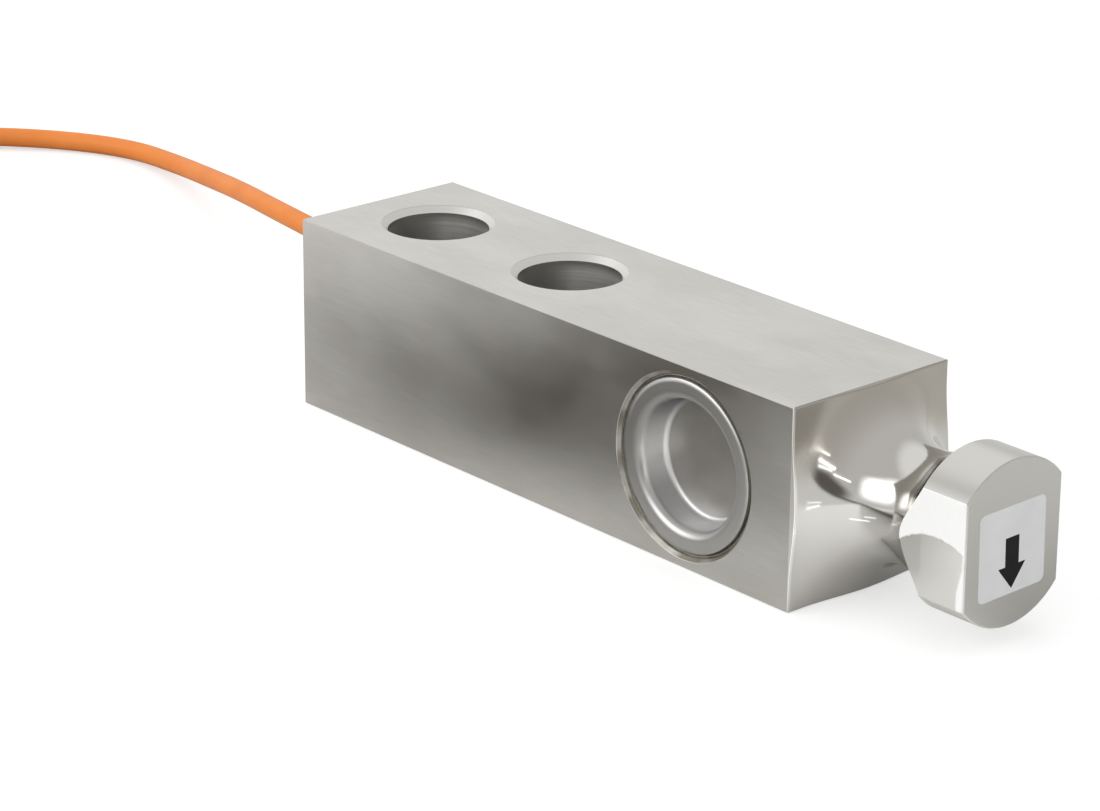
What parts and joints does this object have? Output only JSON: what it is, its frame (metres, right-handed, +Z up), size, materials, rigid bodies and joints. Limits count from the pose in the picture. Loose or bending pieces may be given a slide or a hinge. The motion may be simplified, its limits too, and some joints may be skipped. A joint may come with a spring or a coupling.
{
  "type": "shear beam load cell",
  "caption": "Square steel shear beam load cell with bolt bores, welded side cups, a turned neck with a flatted load head, and a coiled cable.",
  "frame": {"origin": "midway between the two bolt bores, on the base face", "axes": "+X towards the load head along the bar, +Z up, against the direction of the load"},
  "size_m": [0.5243, 0.1549, 0.05],
  "materials": {
    "beam_steel": "ground sides, turned and polished groove, milled head",
    "cup_steel": "satin, drawn and turned",
    "weld_steel": "weld bead with slight heat tint",
    "gauge_film": "polyimide film with metal foil grids",
    "board_green": "glass epoxy with solder pads",
    "board_glue": "silicone adhesive",
    "chip_black": "moulded chip",
    "fine_wire": "enamelled copper",
    "core_red": "insulation",
    "core_green": "insulation",
    "core_black": "insulation",
    "core_white": "insulation",
    "drain_tin": "tinned copper strands",
    "gland_metal": "nickel plated brass",
    "gland_rubber": "moulded rubber",
    "cable_orange": "extruded polyurethane jacket",
    "tie_nylon": "nylon",
    "sleeve_black": "shrink tube",
    "label_grey": "printed vinyl sticker"
  },
  "bodies": {
    "root": {"load_beam": "beam_steel", "near_cup": "cup_steel", "far_cup": "cup_steel", "near_weld_seam": "weld_steel", "far_weld_seam": "weld_steel", "near_shear_gauge": "gauge_film", "far_shear_gauge": "gauge_film", "near_terminals": "board_green", "bridge_board": "board_green", "board_pad": "board_glue", "trim_resistors": "chip_black", "far_gauge_wires": "fine_wire", "near_gauge_wires": "fine_wire", "near_jumper_wires": "fine_wire", "core_red": "core_red", "core_green": "core_green", "core_drain": "drain_tin", "core_black": "core_black", "core_white": "core_white", "gland_washer": "gland_rubber", "gland_body": "gland_metal", "gland_seal": "gland_rubber", "gland_nut": "gland_metal", "cable": "cable_orange", "cable_coil": "cable_orange", "cable_tail": "cable_orange", "coil_tie_1": "tie_nylon", "coil_tie_2": "tie_nylon", "end_sleeve": "sleeve_black", "lead_red": "core_red", "lead_green": "core_green", "lead_drain": "drain_tin", "lead_black": "core_black", "lead_white": "core_white", "load_label": "label_grey"}
  },
  "joints": []
}
